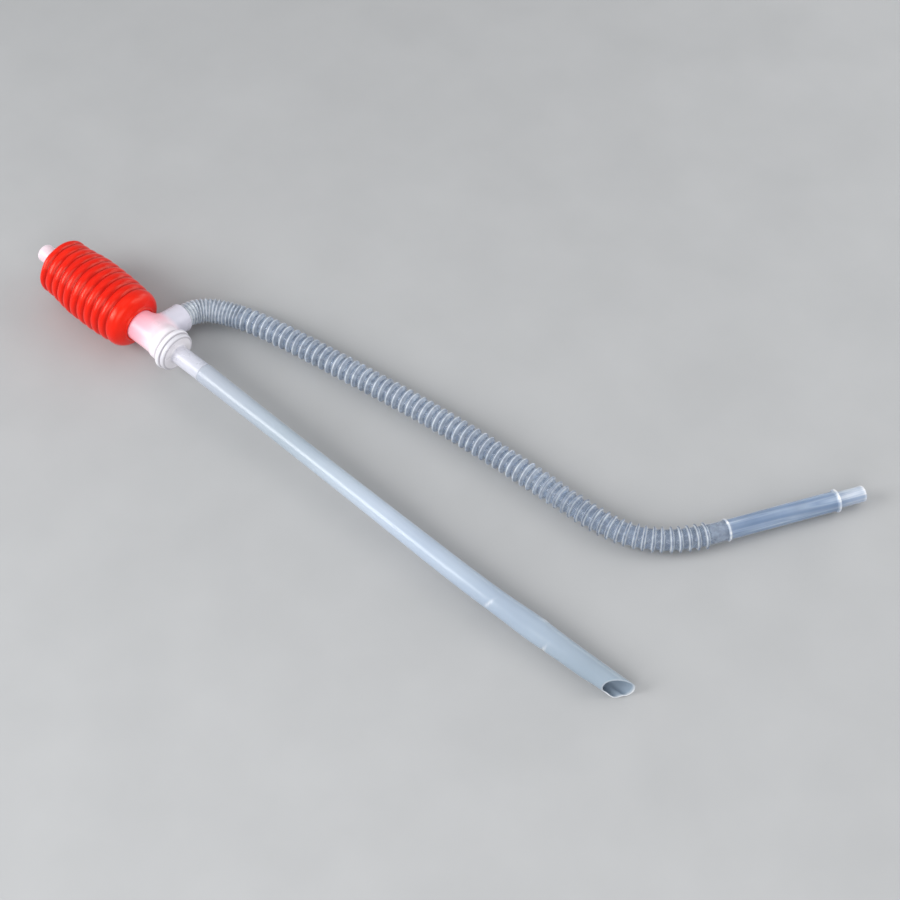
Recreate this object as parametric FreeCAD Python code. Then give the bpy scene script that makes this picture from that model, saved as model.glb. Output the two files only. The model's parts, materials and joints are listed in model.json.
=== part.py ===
"""Hand-squeeze siphon pump: red bellows bulb, check-valve tee, rigid suction tube, corrugated hose.

Pump frame: local X runs along the pump axis from the bulb towards the suction tip, with
s = 0 at the bulb's widest ring; local Y is the side of the hose port; r is the radius from
that axis.  The pump is then laid down on Z = 0, resting on the bulb and the suction tip.
"""
import FreeCAD, Part
import math
import os

V = FreeCAD.Vector
os.makedirs("parts", exist_ok=True)

# ---------------------------------------------------------------- driving dimensions (mm)
# laying down
TILT = 1.993             # pump axis falls this many degrees towards the tip
ROLL = 14.0              # the side port points this many degrees below the horizontal
# bulb
BULB_R = 25.3            # widest rib crest
BULB_S0, BULB_S1 = -41.2, 47.7   # end face, mouth
RIBS = 10                # grooves
RIB_PITCH = 7.5
GROOVE_S0 = -34.0        # first groove
GROOVE_DEPTH = 1.7
BULB_WALL = 1.4
# vent
STEM_R = 4.5
STEM_END = -55.0
VENT_R = 1.6
CAP_R = 7.1
CAP_S0, CAP_S1 = -60.8, -41.6
CAP_BORE_R = 4.58
VENT_PITCH = 2.0
# tee
NECK_R = 12.3
TEE_BORE_R = 10.4
NECK_S0 = 37.0
FLANGE_A = (80.2, 83.6, 16.4)    # s0, s1, radius
PORT_S = 60.8
PORT_R = 10.9
PORT_BORE_R = 8.4
PORT_T = 30.5            # mouth of the port from the pump axis
SADDLE_R = 2.2           # fillet where the port leaves the neck
# intake adapter
SEAL_T = 0.8
FLANGE_B = (84.4, 88.2, 15.2)
PLUG_S0 = 76.0
PLUG_R = 10.37
SPIGOT_R = 7.25
SPIGOT_S1 = 115.0
TONGUE_R = 6.1          # tapers towards its end, as the tube leans 0.87 degrees from the axis
TONGUE_S1 = 131.0
ADAPTER_BORE_R = 4.9
SEAT_R = 4.2
# intake valve
DISC_R = 7.0
DISC_S = (74.4, 75.6)
GUIDE_R = 1.2
INTAKE_LIFT = 2.5
# outlet valve, t = distance from the pump axis along the port
SEAT_T = (11.6, 13.4)
OUT_HOLE_R = 4.4
FLAP_T = (13.7, 14.7)
FLAP_R = 6.2
PIN_H, PIN_T, PIN_R = 6.3, 14.8, 0.5
# suction tube
TUBE_R0, TUBE_R1 = 7.5, 8.15     # top, tip (outside)
TUBE_WALL = 1.3
TUBE_S0 = 115.05
TAPER = (235.0, 345.0)           # the tube widens between these
TUBE_A0, TUBE_A1 = -0.87, 1.75   # heading before and after the bow, degrees
BOW = (352.0, 412.0)
TIP_S = 502.0                    # where the oblique cut crosses the axis
CUT_N = (0.70, -0.66, 0.27)      # normal of the oblique cut
# hose
HOSE_D = 19.0
HOSE_WALL = 0.9
NOZ_R, NOZ_TIP_R = 7.25, 5.9
NOZ_RING1_R, NOZ_RING2_R = 8.25, 8.5
NOZ_LEN, NOZ_RING2 = 106.0, 84.6
NOZ_TILT = 0.7

GAP = 0.03               # fit between pieces fixed in one body


# ---------------------------------------------------------------- helpers
def rev(points, bore=None):
    """Solid turned about the local X axis from (s, r) points; the polygon closes itself."""
    pts = [V(s, r, 0) for s, r in points]
    wire = Part.makePolygon(pts + [pts[0]])
    return Part.Face(wire).revolve(V(0, 0, 0), V(1, 0, 0), 360)


def rev_wire(edges):
    return Part.Face(Part.Wire(edges)).revolve(V(0, 0, 0), V(1, 0, 0), 360)


def cyl(r, s0, s1):
    return Part.makeCylinder(r, s1 - s0, V(s0, 0, 0), V(1, 0, 0))


def seg(a, b):
    return Part.LineSegment(V(a[0], a[1], 0), V(b[0], b[1], 0)).toShape()


def arc3(a, m, b):
    return Part.Arc(V(a[0], a[1], 0), V(m[0], m[1], 0), V(b[0], b[1], 0)).toShape()


def one(shape):
    shape = shape.removeSplitter()
    if len(shape.Solids) == 1:
        return shape.Solids[0]
    return shape


def rounded(points, steps=3):
    """(s, r) corner list with (s, r, fillet) where a corner is rounded, as edges."""
    out, prev = [], None
    n = len(points)
    starts = []
    for i, p in enumerate(points):
        f = p[2] if len(p) > 2 else 0
        a, b, c = points[i - 1], p, points[(i + 1) % n]
        if not f:
            starts.append(((b[0], b[1]), (b[0], b[1]), None))
            continue
        u = V(a[0] - b[0], a[1] - b[1], 0).normalize()
        w = V(c[0] - b[0], c[1] - b[1], 0).normalize()
        half = math.acos(max(-1, min(1, u.dot(w)))) / 2
        d = f / math.tan(half)
        p0 = V(b[0], b[1], 0) + u * d
        p1 = V(b[0], b[1], 0) + w * d
        mid = (u + w).normalize()
        centre = V(b[0], b[1], 0) + mid * (f / math.sin(half))
        m = centre - mid * f
        starts.append(((p0.x, p0.y), (p1.x, p1.y), (m.x, m.y)))
    for i in range(n):
        a0, a1, am = starts[i]
        b0 = starts[(i + 1) % n][0]
        if am is not None:
            out.append(arc3(a0, am, a1))
        if (V(a1[0], a1[1], 0) - V(b0[0], b0[1], 0)).Length > 1e-6:
            out.append(seg(a1, b0))
    return out


# ---------------------------------------------------------------- bulb
def crest(s):
    """Rib crest radius along the barrel: narrower at the cap end."""
    mid = 8.0
    if s < mid:
        return BULB_R - 2.8 * ((mid - s) / 44.0) ** 2
    return BULB_R - 1.5 * ((s - mid) / 28.0) ** 2


grooves = [GROOVE_S0 + RIB_PITCH * i for i in range(RIBS)]
edges = []
end_r = crest(BULB_S0) - 0.45
p = (BULB_S0, STEM_R + 0.1)
q = (BULB_S0, end_r - 3.2)
edges.append(seg(p, q))
g0 = (grooves[0], crest(grooves[0]) - GROOVE_DEPTH)
edges.append(arc3(q, (BULB_S0 + 1.2, end_r - 0.75), (BULB_S0 + 3.5, end_r + 0.35)))
edges.append(arc3((BULB_S0 + 3.5, end_r + 0.35), (BULB_S0 + 5.7, end_r + 0.3), g0))
for a, b in zip(grooves, grooves[1:]):
    m = (a + b) / 2
    edges.append(arc3((a, crest(a) - GROOVE_DEPTH), (m, crest(m)), (b, crest(b) - GROOVE_DEPTH)))
last = (grooves[-1], crest(grooves[-1]) - GROOVE_DEPTH)
sh1 = (39.8, 23.1)
edges.append(arc3(last, (36.8, 23.7), sh1))
lip = (46.9, 14.9)
edges.append(arc3(sh1, (44.6, 20.3), lip))
mouth_o = (BULB_S1, 14.0)
edges.append(arc3(lip, (47.3, 14.2), mouth_o))
mouth_i = (BULB_S1, NECK_R + GAP)
edges.append(seg(mouth_o, mouth_i))
in1 = (43.0, NECK_R + GAP)
edges.append(seg(mouth_i, in1))
in2 = (43.0, 18.4)
edges.append(seg(in1, in2))
in3 = (37.0, 21.3)
edges.append(arc3(in2, (40.8, 20.7), in3))
in4 = (8.0, BULB_R - GROOVE_DEPTH - BULB_WALL)
in5 = (BULB_S0 + 5.5, crest(BULB_S0 + 5.5) - GROOVE_DEPTH - BULB_WALL)
edges.append(arc3(in3, (23.0, crest(23.0) - GROOVE_DEPTH - BULB_WALL), in4))
edges.append(arc3(in4, (-14.0, crest(-14.0) - GROOVE_DEPTH - BULB_WALL), in5))
in6 = (BULB_S0 + BULB_WALL, end_r - 4.5)
edges.append(arc3(in5, (BULB_S0 + 2.6, end_r - 2.2), in6))
in7 = (BULB_S0 + BULB_WALL, STEM_R + 0.1)
edges.append(seg(in6, in7))
edges.append(seg(in7, p))
squeeze_bulb = rev_wire(edges)

# ---------------------------------------------------------------- vent: bush, seal pad, screw cap
b0 = BULB_S0 + BULB_WALL + 0.05
vent_bush = rev([
    (b0 + 1.8, VENT_R), (b0 + 1.8, 8.0), (b0, 8.0), (b0, STEM_R),
    (STEM_END + 0.5, STEM_R), (STEM_END, STEM_R - 0.5), (STEM_END, VENT_R)])
# shallow run-out ring under the thread
vent_bush = one(vent_bush.cut(cyl(STEM_R + 1, -43.4, -42.2).cut(cyl(STEM_R - 0.35, -44, -41))))
vent_seal = cyl(4.2, -56.25, STEM_END - 0.15)
cap_top = -56.4
vent_cap = rev_wire(rounded([
    (CAP_S1, CAP_BORE_R), (CAP_S1, CAP_R, 0.6), (CAP_S0 + 0.0, CAP_R, 3.4), (CAP_S0, 0),
    (cap_top, 0), (cap_top, CAP_BORE_R)]))

# ---------------------------------------------------------------- tee body
pd = V(0, math.cos(math.radians(ROLL)), -math.sin(math.radians(ROLL)))     # port direction
ph = V(0, math.sin(math.radians(ROLL)), math.cos(math.radians(ROLL)))      # port's upper side
body = rev_wire(rounded([
    (NECK_S0, TEE_BORE_R), (NECK_S0, NECK_R + 0.7, 0.5), (39.6, NECK_R + 0.7, 0.4), (40.6, NECK_R),
    (FLANGE_A[0] - 2.2, NECK_R, 2.0), (FLANGE_A[0], NECK_R + 2.4, 0.8), (FLANGE_A[0], FLANGE_A[2], 1.5),
    (FLANGE_A[1], FLANGE_A[2], 1.2), (FLANGE_A[1], TEE_BORE_R)]))
port = Part.makeCylinder(PORT_R, PORT_T, V(PORT_S, 0, 0), pd)
port = port.makeFillet(0.7, [e for e in port.Edges if abs((e.CenterOfMass - V(PORT_S, 0, 0)).dot(pd) - PORT_T) < 0.01 and e.Closed and len(e.Vertexes) == 1])
solid_bore = cyl(TEE_BORE_R, NECK_S0 - 1, FLANGE_A[1] + 1)
tee_body = body.fuse(port.cut(solid_bore)).removeSplitter()


def saddle_edges(shape):
    """The outside edges where the port meets the neck."""
    out = []
    for e in shape.Edges:
        pts = e.discretize(9)
        on = []
        for q in pts:
            w = q - V(PORT_S, 0, 0)
            on.append(abs(math.hypot(q.y, q.z) - NECK_R) < 0.02 and abs((w - pd * w.dot(pd)).Length - PORT_R) < 0.02)
        if all(on):
            out.append(e)
    return out


tee_body = one(tee_body.makeFillet(SADDLE_R, saddle_edges(tee_body)))
tee_body = tee_body.cut(Part.makeCylinder(PORT_BORE_R, PORT_T + 1, V(PORT_S, 0, 0), pd))
# shallow gate step that stops the outlet seat from sliding inwards
stop = Part.makeCylinder(PORT_BORE_R + 0.3, 0.9, V(PORT_S, 0, 0) + pd * (SEAT_T[0] - 0.95), pd).cut(
    Part.makeCylinder(6.6, 2.0, V(PORT_S, 0, 0) + pd * (SEAT_T[0] - 1.5), pd))
tee_body = one(tee_body.fuse(stop.cut(solid_bore)))

# ---------------------------------------------------------------- intake adapter, seal, valve
adapter_seal = rev([(FLANGE_A[1] + 0.0, PLUG_R + 0.1), (FLANGE_A[1], 12.9), (FLANGE_B[0], 12.9), (FLANGE_B[0], PLUG_R + 0.1)])
intake_adapter = rev_wire(rounded([
    (PLUG_S0, SEAT_R), (PLUG_S0, PLUG_R, 0.4), (FLANGE_B[0], PLUG_R), (FLANGE_B[0], FLANGE_B[2], 1.0),
    (FLANGE_B[1], FLANGE_B[2], 1.7), (FLANGE_B[1], SPIGOT_R + 0.9, 0.5), (FLANGE_B[1] + 1.4, SPIGOT_R, 0.8),
    (SPIGOT_S1, SPIGOT_R), (SPIGOT_S1, TONGUE_R + 0.04), (TONGUE_S1 - 0.8, TONGUE_R - 0.22), (TONGUE_S1, TONGUE_R - 0.6),
    (TONGUE_S1, ADAPTER_BORE_R), (PLUG_S0 + 1.6, ADAPTER_BORE_R), (PLUG_S0 + 1.6, SEAT_R)]))
intake_valve = one(cyl(DISC_R, DISC_S[0], DISC_S[1]).fuse(cyl(GUIDE_R, DISC_S[0] - 6.4, DISC_S[0] + 0.2)))
cage = cyl(PLUG_R, 69.6, PLUG_S0 - 0.02).cut(cyl(8.7, 69.0, PLUG_S0 + 1))
spokes = cyl(2.6, 69.6, 71.5)
for k in range(3):
    s = Part.makeBox(1.9, 9.4, 1.8, V(69.6, 0.0, -0.9))
    s.rotate(V(0, 0, 0), V(1, 0, 0), 30 + 120 * k)
    spokes = spokes.fuse(s)
windows = []
for k in range(3):
    w = Part.makeBox(3.4, 20, 7.0, V(72.2, 0, -3.5))
    w.rotate(V(0, 0, 0), V(1, 0, 0), 90 + 120 * k)
    windows.append(w)
valve_cage = one(cage.cut(Part.makeCompound(windows)).fuse(spokes).cut(cyl(GUIDE_R + 0.07, 60, 75)))

# ---------------------------------------------------------------- outlet valve (port frame: t outwards, h up, x along the pump)
PO = V(PORT_S, 0, 0)


def pport(x, h, t):
    return PO + V(1, 0, 0) * x + ph * h + pd * t


outlet_seat = Part.makeCylinder(PORT_BORE_R - GAP, SEAT_T[1] - SEAT_T[0], pport(0, 0, SEAT_T[0]), pd)
outlet_seat = outlet_seat.cut(Part.makeCylinder(OUT_HOLE_R, 6, pport(0, 0, SEAT_T[0] - 2), pd))


def pbox(x0, x1, h0, h1, t0, t1):
    pts = [pport(x0, h0, t0), pport(x1, h0, t0), pport(x1, h1, t0), pport(x0, h1, t0)]
    f = Part.Face(Part.makePolygon(pts + [pts[0]]))
    return f.extrude(pd * (t1 - t0))


for sx in (-1, 1):
    x0, x1 = sorted((sx * 2.2, sx * 3.5))
    ear = pbox(x0, x1, PIN_H - 0.85, PIN_H + 0.85, SEAT_T[1] - 0.2, PIN_T)
    ear = ear.fuse(Part.makeCylinder(0.85, x1 - x0, pport(x0, PIN_H, PIN_T), V(1, 0, 0)))
    outlet_seat = outlet_seat.fuse(ear)
outlet_seat = one(outlet_seat.cut(Part.makeCylinder(PIN_R + GAP, 12, pport(-6, PIN_H, PIN_T), V(1, 0, 0))))
flap_pin = Part.makeCylinder(PIN_R, 7.0, pport(-3.5, PIN_H, PIN_T), V(1, 0, 0))
flap = Part.makeCylinder(FLAP_R, FLAP_T[1] - FLAP_T[0], pport(0, 0, FLAP_T[0]), pd)
flap = flap.cut(pbox(-9, 9, 4.95, 9, FLAP_T[0] - 1, FLAP_T[1] + 1))
flap = flap.fuse(pbox(-1.9, 1.9, 4.5, PIN_H, FLAP_T[0] + 0.05, FLAP_T[1] + 0.05))
flap = flap.fuse(Part.makeCylinder(1.0, 3.8, pport(-1.9, PIN_H, PIN_T), V(1, 0, 0)))
outlet_flap = one(flap.cut(Part.makeCylinder(PIN_R + 0.07, 12, pport(-6, PIN_H, PIN_T), V(1, 0, 0))))

# ---------------------------------------------------------------- suction tube
a0, a1 = math.radians(TUBE_A0), math.radians(TUBE_A1)
d0, d1 = V(math.cos(a0), math.sin(a0), 0), V(math.cos(a1), math.sin(a1), 0)
P_start = V(TUBE_S0, 0, 0)
P_bow0 = P_start + d0 * ((BOW[0] - TUBE_S0) / d0.x)
turn = a1 - a0
R_bow = ((BOW[1] - BOW[0]) / math.cos((a0 + a1) / 2)) / turn
cen = P_bow0 + V(-d0.y, d0.x, 0) * R_bow
P_bow1 = cen - V(-d1.y, d1.x, 0) * R_bow
am = (a0 + a1) / 2
P_mid = cen - V(-math.sin(am), math.cos(am), 0) * R_bow
tube_end_len = (TIP_S + 16 - P_bow1.x) / d1.x
print("suction tube bow radius %.0f mm, lateral at bow %.2f, at tip %.2f" % (R_bow, P_mid.y, (P_bow1 + d1 * ((TIP_S - P_bow1.x) / d1.x)).y))


def run_of_tube(r0, r1, top=0.0):
    """Tube body of outside radius r0 then r1: cylinder, cone, cylinder, bend, cylinder."""
    c0 = P_start + d0 * ((TAPER[0] - TUBE_S0) / d0.x)
    c1 = P_start + d0 * ((TAPER[1] - TUBE_S0) / d0.x)
    start = P_start - d0 * top
    s = Part.makeCylinder(r0, (c0 - start).Length, start, d0)
    s = s.fuse(Part.makeCone(r0, r1, (c1 - c0).Length, c0, d0))
    s = s.fuse(Part.makeCylinder(r1, (P_bow0 - c1).Length, c1, d0))
    circ = Part.Wire(Part.makeCircle(r1, P_bow0, d0))
    path = Part.Wire(Part.Arc(P_bow0, P_mid, P_bow1).toShape())
    s = s.fuse(path.makePipeShell([circ], True, False))
    s = s.fuse(Part.makeCylinder(r1, tube_end_len + top, P_bow1, d1))
    return s


outer = run_of_tube(TUBE_R0, TUBE_R1)
inner = run_of_tube(TUBE_R0 - TUBE_WALL, TUBE_R1 - TUBE_WALL, top=1.0)
tip = P_bow1 + d1 * ((TIP_S - P_bow1.x) / d1.x)
n = V(*CUT_N).normalize()
half = Part.makeBox(120, 120, 60, V(-60, -60, 0))
half.Placement = FreeCAD.Placement(tip, FreeCAD.Rotation(V(0, 0, 1), n))
suction_tube = one(outer.cut(inner).cut(half))

# ---------------------------------------------------------------- lay the pump down
pump = {
    "squeeze_bulb": squeeze_bulb, "vent_bush": vent_bush, "vent_seal": vent_seal, "vent_cap": vent_cap,
    "tee_body": tee_body, "adapter_seal": adapter_seal, "intake_adapter": intake_adapter,
    "intake_valve": intake_valve, "valve_cage": valve_cage, "outlet_seat": outlet_seat,
    "outlet_flap": outlet_flap, "flap_pin": flap_pin, "suction_tube": suction_tube,
}
for k in pump:
    pump[k] = pump[k].copy()
    pump[k].rotate(V(0, 0, 0), V(0, 1, 0), TILT)
Z0 = -pump["squeeze_bulb"].optimalBoundingBox(False, False).ZMin
tube_low = pump["suction_tube"].optimalBoundingBox(False, False).ZMin + Z0
print("pump axis height at s=0: %.3f, tube's lowest point at %.3f (wants about 0)" % (Z0, tube_low))
rot = FreeCAD.Rotation(V(0, 1, 0), TILT)


def place(q):
    """Pump frame point -> laid-down frame, still measured from the bulb's widest ring."""
    return rot.multVec(q) + V(0, 0, Z0)


for k in pump:
    pump[k].translate(V(0, 0, Z0))

# ---------------------------------------------------------------- hose and nozzle, measured from the bulb's widest ring
mouth = place(V(PORT_S, 0, 0) + pd * (PORT_T + 0.02))
port_dir = rot.multVec(pd)
HZ = HOSE_D / 2 + 0.05
first = mouth + port_dir * 8.1
route = [
    mouth, first,
    V(63.2, 44.6, 12.4), V(68.2, 50.9, 11.4), V(76.9, 56.5, 10.5), V(90.5, 62.5, 9.8), V(111.6, 67.9, HZ + 0.03),
    V(142.0, 72.6, HZ), V(180.0, 77.7, HZ), V(224.0, 83.2, HZ), V(268.0, 88.1, HZ), V(310.0, 90.9, HZ),
    V(350.0, 92.5, HZ), V(386.0, 93.1, HZ), V(412.0, 94.3, HZ), V(431.2, 97.7, HZ), V(447.2, 105.2, HZ),
    V(460.3, 115.7, HZ), V(470.9, 128.1, HZ), V(478.0, 138.25, HZ), V(482.755, 146.088, HZ),
]


def cord_path(pts):
    """Straight runs joined by tangent arcs, each arc as large as its two runs allow."""
    edges, here = [], pts[0]
    for i in range(1, len(pts) - 1):
        a, b, c = pts[i - 1], pts[i], pts[i + 1]
        u, w = (a - b), (c - b)
        run = min(u.Length, w.Length)
        u.normalize()
        w.normalize()
        turn = math.pi - math.acos(max(-1, min(1, u.dot(w))))
        rad = 0.45 * run / math.tan(turn / 2)
        d = 0.45 * run
        p0, p1 = b + u * d, b + w * d
        bis = (u + w).normalize()
        cc = b + bis * (rad / math.cos(turn / 2))
        m = cc - bis * rad
        if (p0 - here).Length > 1e-6:
            edges.append(Part.LineSegment(here, p0).toShape())
        edges.append(Part.Arc(p0, m, p1).toShape())
        print("  hose point %2d run %5.1f turn %5.1f deg radius %7.1f mm = %5.1f diameters" % (i, run, math.degrees(turn), rad, rad / HOSE_D))
        here = p1
    edges.append(Part.LineSegment(here, pts[-1]).toShape())
    return Part.Wire(edges)


path = cord_path(route)
d_start = (route[1] - route[0]).normalize()


def sweep(r):
    c = Part.Wire(Part.makeCircle(r, route[0], d_start))
    s = path.makePipeShell([c], True, False)
    return s


hose_out = sweep(HOSE_D / 2)
hose_in = sweep(HOSE_D / 2 - HOSE_WALL)
discharge_hose = hose_out.cut(hose_in)
section = math.pi * ((HOSE_D / 2) ** 2 - (HOSE_D / 2 - HOSE_WALL) ** 2)
print("hose length %.1f mm, volume / (section x length) = %.4f" % (path.Length, discharge_hose.Volume / (section * path.Length)))

# nozzle, turned about its own axis then laid at the hose's end
nd = (route[-1] - route[-2]).normalize()
nd = V(nd.x, nd.y, 0).normalize()
nz = rev_wire(rounded([
    (0.02, 5.6), (0.02, NOZ_RING1_R, 0.5), (1.9, NOZ_RING1_R, 0.7), (2.1, NOZ_R, 0.0),
    (NOZ_RING2 - 1.1, NOZ_R), (NOZ_RING2 - 1.1, NOZ_RING2_R, 0.8), (NOZ_RING2 + 1.1, NOZ_RING2_R, 0.8),
    (NOZ_RING2 + 1.1, NOZ_TIP_R), (NOZ_LEN, NOZ_TIP_R, 0.5), (NOZ_LEN, NOZ_TIP_R - 1.2),
    (NOZ_RING2 - 3.0, NOZ_TIP_R - 1.2), (NOZ_RING2 - 5.0, 5.9), (4.0, 5.9)]))
yaw = math.degrees(math.atan2(nd.y, nd.x))
nz.rotate(V(0, 0, 0), V(0, 1, 0), NOZ_TILT)
nz.rotate(V(0, 0, 0), V(0, 0, 1), yaw)
nz.translate(route[-1])
outlet_nozzle = nz
print("nozzle lowest %.3f, yaw %.2f" % (nz.optimalBoundingBox(False, False).ZMin, yaw))

# ---------------------------------------------------------------- origin at the middle of the pump's footprint
boxes = [s.optimalBoundingBox(False, False) for s in pump.values()]
XC = (min(b.XMin for b in boxes) + max(b.XMax for b in boxes)) / 2
YC = (min(b.YMin for b in boxes) + max(b.YMax for b in boxes)) / 2
ZB = min(b.ZMin for b in boxes)
print("origin in bulb-ring frame: %.4f %.4f %.4f" % (XC, YC, ZB))
parts = dict(pump)
parts["discharge_hose"] = discharge_hose
parts["outlet_nozzle"] = outlet_nozzle
for k, s in parts.items():
    s.translate(V(-XC, -YC, -ZB))
    ok = s.isValid() and len(s.Solids) == 1
    print("%-16s %s solids %d volume %.1f" % (k, "ok" if ok else "BAD", len(s.Solids), s.Volume))
    s.exportStep("parts/%s.step" % k)
print("route (row frame):", [(round(p.x - XC, 3), round(p.y - YC, 3), round(p.z - ZB, 3)) for p in route])
for nme, q in [("s0", V(0, 0, 0)), ("cap", V(CAP_S0, 0, 0)), ("bulb_mouth", V(BULB_S1, 0, 0)), ("valve", V(75, 0, 0)), ("tip", tip), ("bow1", P_bow1),
               ("pin", pport(0, PIN_H, PIN_T)), ("port", pport(0, 0, PORT_T))]:
    w = place(q)
    print("point %-11s %.4f %.4f %.4f" % (nme, w.x - XC, w.y - YC, w.z - ZB))
for nme, dv in [("axis", V(1, 0, 0)), ("tube_end_dir", d1), ("port_dir", pd), ("port_up", ph)]:
    w = rot.multVec(dv)
    print("dir %-12s %.6f %.6f %.6f" % (nme, w.x, w.y, w.z))
ez = V(math.cos(math.radians(NOZ_TILT)) * nd.x, math.cos(math.radians(NOZ_TILT)) * nd.y, -math.sin(math.radians(NOZ_TILT)))
ne = route[-1] + ez * NOZ_LEN
print("nozzle end %.4f %.4f %.4f dir %.6f %.6f %.6f" % (ne.x - XC, ne.y - YC, ne.z - ZB, ez.x, ez.y, ez.z))
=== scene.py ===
import bpy, bmesh, json, math
import numpy as np
from mathutils import Vector, Matrix, noise


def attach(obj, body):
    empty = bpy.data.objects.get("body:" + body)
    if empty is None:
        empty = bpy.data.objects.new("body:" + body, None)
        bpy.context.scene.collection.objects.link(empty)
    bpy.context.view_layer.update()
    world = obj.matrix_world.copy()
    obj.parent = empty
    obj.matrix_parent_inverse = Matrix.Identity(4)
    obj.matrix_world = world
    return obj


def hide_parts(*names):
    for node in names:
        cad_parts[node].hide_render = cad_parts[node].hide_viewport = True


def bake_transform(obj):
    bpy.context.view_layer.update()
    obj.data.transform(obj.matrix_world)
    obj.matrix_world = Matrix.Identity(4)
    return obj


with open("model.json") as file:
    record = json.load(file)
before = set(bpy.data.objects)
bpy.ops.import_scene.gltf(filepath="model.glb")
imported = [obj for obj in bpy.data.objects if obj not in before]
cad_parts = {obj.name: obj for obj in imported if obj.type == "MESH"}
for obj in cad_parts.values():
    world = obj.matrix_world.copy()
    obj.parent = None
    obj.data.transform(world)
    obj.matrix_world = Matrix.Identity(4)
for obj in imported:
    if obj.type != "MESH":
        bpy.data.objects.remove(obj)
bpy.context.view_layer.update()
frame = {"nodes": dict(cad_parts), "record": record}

MM = 0.001
# ------------------------------------------------------------------ the pump's own frame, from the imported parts
AX = Vector((0.999395, 0.0, -0.034777)).normalized()          # pump axis, towards the suction tip
for j in frame["record"]["behaviour"]["joints"]:
    if j["name"] == "bulb_squeeze":
        AX = Vector(j["axis"]).normalized()
    if j["name"] == "vent_cap_turn":
        CAP_P = Vector(j["pos_m"])
S0 = CAP_P + AX * (60.8 * MM)                                 # the bulb's widest ring, on the axis
YV = Vector((0, 1, 0))
ZV = AX.cross(YV).normalized()


def at(s, y=0.0, z=0.0):
    """Point of the pump frame (mm) in the row frame (m)."""
    return S0 + AX * (s * MM) + YV * (y * MM) + ZV * (z * MM)


# ------------------------------------------------------------------ camera
cam_data = bpy.data.cameras.new("camera")
cam = bpy.data.objects.new("camera", cam_data)
bpy.context.scene.collection.objects.link(cam)
cam_data.lens = 68.0
cam_data.sensor_width = 36.0
cam_data.clip_start, cam_data.clip_end = 0.05, 20.0
look = Vector((-0.3853886, 0.4438098, -0.8090170))
cam.location = S0 + Vector((0.7648113, -0.4712387, 0.9752575))
cam.rotation_mode = "QUATERNION"
cam.rotation_quaternion = look.to_track_quat("-Z", "Y")
bpy.context.scene.camera = cam
bpy.context.scene.view_settings.view_transform = "Standard"

# ------------------------------------------------------------------ the hose's line
ROUTE = [
    (-164.117, 26.222, 16.227), (-164.185, 34.081, 14.269), (-161.423, 41.208, 12.409), (-156.423, 47.508, 11.409),
    (-147.723, 53.108, 10.509), (-134.123, 59.108, 9.809), (-113.023, 64.508, 9.589), (-82.623, 69.208, 9.559),
    (-44.623, 74.308, 9.559), (-0.623, 79.808, 9.559), (43.377, 84.708, 9.559), (85.377, 87.508, 9.559),
    (125.377, 89.108, 9.559), (161.377, 89.708, 9.559), (187.377, 90.908, 9.559), (206.577, 94.308, 9.559),
    (222.577, 101.808, 9.559), (235.677, 112.308, 9.559), (246.277, 124.708, 9.559), (253.377, 134.858, 9.559),
    (258.132, 142.696, 9.559),
]


def nurbs_points(route):
    cu = bpy.data.curves.new("hose_line", "CURVE")
    cu.dimensions = "3D"
    sp = cu.splines.new("NURBS")
    sp.points.add(len(route) - 1)
    for p, q in zip(sp.points, route):
        p.co = (q[0] * MM, q[1] * MM, q[2] * MM, 1.0)
    sp.order_u = 3
    sp.use_endpoint_u = True
    sp.resolution_u = 24
    ob = bpy.data.objects.new("hose_line", cu)
    bpy.context.scene.collection.objects.link(ob)
    bpy.context.view_layer.update()
    me = bpy.data.meshes.new_from_object(ob)
    pts = [v.co.copy() for v in me.vertices]
    bpy.data.objects.remove(ob)
    bpy.data.meshes.remove(me)
    out = [pts[0]]
    for p in pts[1:]:
        if (p - out[-1]).length > 1e-7:
            out.append(p)
    return out


line = nurbs_points(ROUTE)


class Track:
    """Arc-length lookup with frames that don't twist."""

    def __init__(self, pts, up=Vector((0, 0, 1))):
        self.p = pts
        self.s = [0.0]
        for a, b in zip(pts, pts[1:]):
            self.s.append(self.s[-1] + (b - a).length)
        self.t = []
        for i in range(len(pts)):
            a, b = pts[max(i - 1, 0)], pts[min(i + 1, len(pts) - 1)]
            self.t.append((b - a).normalized())
        u = (up - self.t[0] * up.dot(self.t[0])).normalized()
        self.u = [u]
        for i in range(1, len(pts)):
            u = (u - self.t[i] * u.dot(self.t[i])).normalized()
            self.u.append(u)
        self.length = self.s[-1]
        self.i = 0

    def at(self, s):
        if s <= 0:
            return self.p[0] + self.t[0] * s, self.t[0], self.u[0]
        if s >= self.length:
            return self.p[-1] + self.t[-1] * (s - self.length), self.t[-1], self.u[-1]
        lo, hi = 0, len(self.s) - 1
        while hi - lo > 1:
            m = (lo + hi) // 2
            if self.s[m] <= s:
                lo = m
            else:
                hi = m
        f = (s - self.s[lo]) / (self.s[hi] - self.s[lo])
        p = self.p[lo].lerp(self.p[hi], f)
        t = self.t[lo].lerp(self.t[hi], f).normalized()
        u = self.u[lo].lerp(self.u[hi], f)
        u = (u - t * u.dot(t)).normalized()
        return p, t, u


# ------------------------------------------------------------------ mesh helpers
def new_mesh(name, verts, faces, smooth=True):
    me = bpy.data.meshes.new(name)
    me.from_pydata([tuple(v) for v in verts], [], faces)
    me.validate()
    bm = bmesh.new()
    bm.from_mesh(me)
    bmesh.ops.recalc_face_normals(bm, faces=bm.faces)
    bm.to_mesh(me)
    bm.free()
    for p in me.polygons:
        p.use_smooth = smooth
    me.update()
    ob = bpy.data.objects.new(name, me)
    bpy.context.scene.collection.objects.link(ob)
    return ob


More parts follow.
